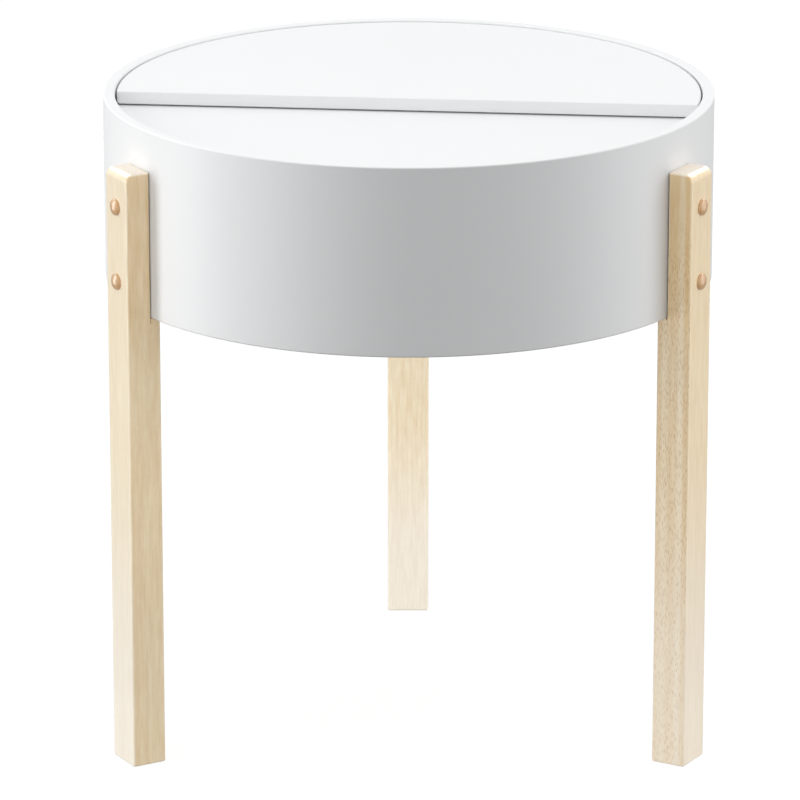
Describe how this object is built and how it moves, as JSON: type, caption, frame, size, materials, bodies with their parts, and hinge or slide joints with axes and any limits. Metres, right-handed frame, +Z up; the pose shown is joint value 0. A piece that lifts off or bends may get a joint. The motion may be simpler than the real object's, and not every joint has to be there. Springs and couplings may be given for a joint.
{
  "type": "storage end table",
  "caption": "Round white storage table: a lacquered drum on notched wooden legs, closed by two overlapping half lids, the upper of which turns inside the rim to open it.",
  "frame": {"origin": "on the floor, at the centre of the bounding box; the drum's axis stands 10.3 mm in front of it, because the rear leg and its plugs reach past the drum", "axes": "+Z up; -Y is the front, between the two front legs, and +Y points to the rear leg; +X to the right"},
  "size_m": [0.4199, 0.4406, 0.45],
  "materials": {
    "white_lacquer": "satin white lacquer on bent and flat fibreboard",
    "white_board": "matt white coated fibreboard",
    "leg_wood": "pale rubberwood, clear matt lacquer",
    "plug_wood": "turned wooden plug, clear lacquer",
    "zinc_steel": "bright zinc plate",
    "glide_felt": "thin pressed felt"
  },
  "bodies": {
    "drum": {"drum_wall": "white_lacquer", "bottom_panel": "white_board", "lid_ledge_ring": "white_board", "lid_runner": "white_board", "left_leg": "leg_wood", "right_leg": "leg_wood", "rear_leg": "leg_wood", "left_upper_bolt": "zinc_steel", "left_lower_bolt": "zinc_steel", "right_upper_bolt": "zinc_steel", "right_lower_bolt": "zinc_steel", "rear_upper_bolt": "zinc_steel", "rear_lower_bolt": "zinc_steel", "left_upper_nut": "zinc_steel", "left_lower_nut": "zinc_steel", "right_upper_nut": "zinc_steel", "right_lower_nut": "zinc_steel", "rear_upper_nut": "zinc_steel", "rear_lower_nut": "zinc_steel", "left_upper_plug": "plug_wood", "left_lower_plug": "plug_wood", "right_upper_plug": "plug_wood", "right_lower_plug": "plug_wood", "rear_upper_plug": "plug_wood", "rear_lower_plug": "plug_wood"},
    "lower_lid": {"lower_lid": "white_lacquer"},
    "upper_lid": {"upper_lid": "white_lacquer", "lid_glide_1": "glide_felt", "lid_glide_2": "glide_felt", "lid_glide_3": "glide_felt", "lid_glide_4": "glide_felt", "lid_glide_5": "glide_felt"}
  },
  "joints": [
    {"name": "lids_lift", "type": "slide", "parent": "drum", "child": "lower_lid", "axis": [0, 0, 1], "range_m": [0, 0.15]},
    {"name": "upper_lid_turn", "type": "hinge", "parent": "lower_lid", "child": "upper_lid", "pos_m": [0, -0.0103, 0.4445], "axis": [0, 0, 1], "continuous": true}
  ]
}
